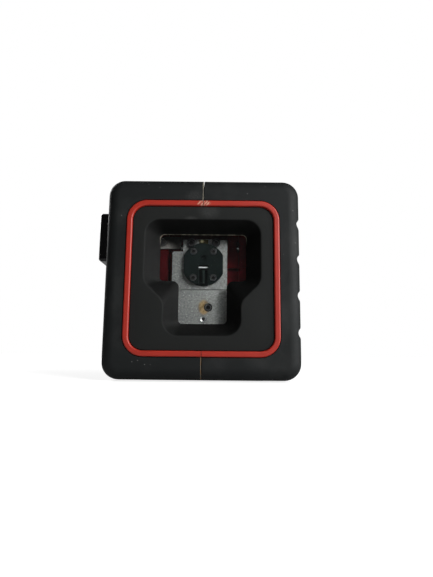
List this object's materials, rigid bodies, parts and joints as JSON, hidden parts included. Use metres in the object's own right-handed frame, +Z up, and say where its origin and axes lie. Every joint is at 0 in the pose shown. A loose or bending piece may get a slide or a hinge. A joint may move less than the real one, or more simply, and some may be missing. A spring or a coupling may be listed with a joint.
{
  "type": "cross line laser level",
  "caption": "Box-shaped cross line laser level with a rubber jacket, flared front window, self-levelling pendulum, side lock slide, top keys and a tripod thread.",
  "frame": {"origin": "mouth of the tripod thread, on the plane that the tool stands on", "axes": "+Z up, the window looks along -Y, +X to the right of someone facing the window"},
  "size_m": [0.1036, 0.0646, 0.1008],
  "materials": {
    "black_rubber": "soft moulded rubber with a fine matte texture",
    "shell_plastic": "moulded, unpainted",
    "red_rubber": "smooth moulded rubber",
    "bezel_plastic": "fine matte texture",
    "clear_pane": "clear and polished",
    "seal_rubber": "matte",
    "base_plastic": "fine matte texture",
    "brass": "turned",
    "zinc_steel": "bright zinc plated",
    "black_steel": "black oxide",
    "red_paint": "dark red satin paint",
    "nickel": "nickel plated",
    "zinc_plate": "plain zinc plated sheet",
    "bearing_steel": "ground",
    "guide_plastic": "matte",
    "keypad_plastic": "fine matte texture",
    "component_black": "moulded",
    "board_green": "solder mask",
    "light_clear": "moulded clear",
    "plug_plastic": "moulded",
    "ribbon_white": "film with printed tracks",
    "lead_red": "insulated wire",
    "tray_plastic": "moulded",
    "cell_can": "plain sleeve",
    "contact_steel": "nickel plated spring steel",
    "silver_casting": "fine shot-blasted casting",
    "black_anodised": "black anodised, turned",
    "lens_glass": "polished",
    "gilt": "gold plated",
    "amber_glue": "cured lacquer",
    "copper": "bare copper",
    "gloss_black": "glossy moulded plastic",
    "button_rubber": "matte"
  },
  "bodies": {
    "housing": {"left_jacket": "black_rubber", "right_jacket": "black_rubber", "left_shell": "shell_plastic", "right_shell": "shell_plastic", "left_ring": "red_rubber", "right_ring": "red_rubber", "case_screws": "black_steel", "front_bezel": "bezel_plastic", "window_gasket": "seal_rubber", "front_window": "clear_pane", "base_plate": "base_plastic", "tripod_bush": "brass", "chassis_screws": "zinc_steel", "chassis": "red_paint", "damping_magnet": "nickel", "swing_stop": "zinc_plate", "pitch_bearings": "bearing_steel", "lock_guide": "guide_plastic", "keypad_panel": "keypad_plastic", "tact_switches": "component_black", "button_board": "board_green", "board_screws": "zinc_steel", "status_lights": "light_clear", "light_pipes": "light_clear", "main_board": "board_green", "board_components": "component_black", "board_plugs": "plug_plastic", "ribbon_cable": "ribbon_white", "battery_leads": "lead_red", "battery_tray": "tray_plastic", "battery_cells": "cell_can", "battery_contacts": "contact_steel", "hinge_pin": "bearing_steel"},
    "gimbal": {"gimbal_block": "silver_casting", "roll_bearings": "bearing_steel", "pitch_pins": "bearing_steel"},
    "pendulum": {"face_plate": "silver_casting", "plate_screws": "black_steel", "carrier": "silver_casting", "roll_pin": "brass", "module_cap": "black_anodised", "cap_screws": "black_steel", "rod_lenses": "lens_glass", "laser_barrel": "brass", "laser_diode": "gilt", "balance_weight": "silver_casting", "calibration_screw": "black_steel", "balance_pin": "nickel", "sealing_glue": "amber_glue", "damping_bob": "copper", "bob_screw": "zinc_steel"},
    "lock_slide": {"lock_thumb": "gloss_black", "lock_carrier": "tray_plastic", "lock_arm": "zinc_plate", "brake_pad": "seal_rubber"},
    "battery_door": {"battery_door": "base_plastic", "door_seal": "seal_rubber"},
    "line_button": {"line_button": "button_rubber"},
    "pulse_button": {"pulse_button": "button_rubber"}
  },
  "joints": [
    {"name": "pitch_swing", "type": "hinge", "parent": "housing", "child": "gimbal", "pos_m": [0, -0.007, 0.07], "axis": [1, 0, 0], "range_deg": [-4, 4]},
    {"name": "roll_swing", "type": "hinge", "parent": "gimbal", "child": "pendulum", "pos_m": [0, -0.007, 0.07], "axis": [0, 1, 0], "range_deg": [-4, 4]},
    {"name": "lock_travel", "type": "slide", "parent": "housing", "child": "lock_slide", "axis": [0, 0, 1], "range_m": [0, 0.004]},
    {"name": "door_swing", "type": "hinge", "parent": "housing", "child": "battery_door", "pos_m": [0, 0.0282, 0.0142], "axis": [-1, 0, 0], "range_deg": [0, 90]},
    {"name": "line_press", "type": "slide", "parent": "housing", "child": "line_button", "axis": [0, 0, -1], "range_m": [0, 0.0005], "stiffness_N_per_m": 1500},
    {"name": "pulse_press", "type": "slide", "parent": "housing", "child": "pulse_button", "axis": [0, 0, -1], "range_m": [0, 0.0005], "stiffness_N_per_m": 1500}
  ]
}
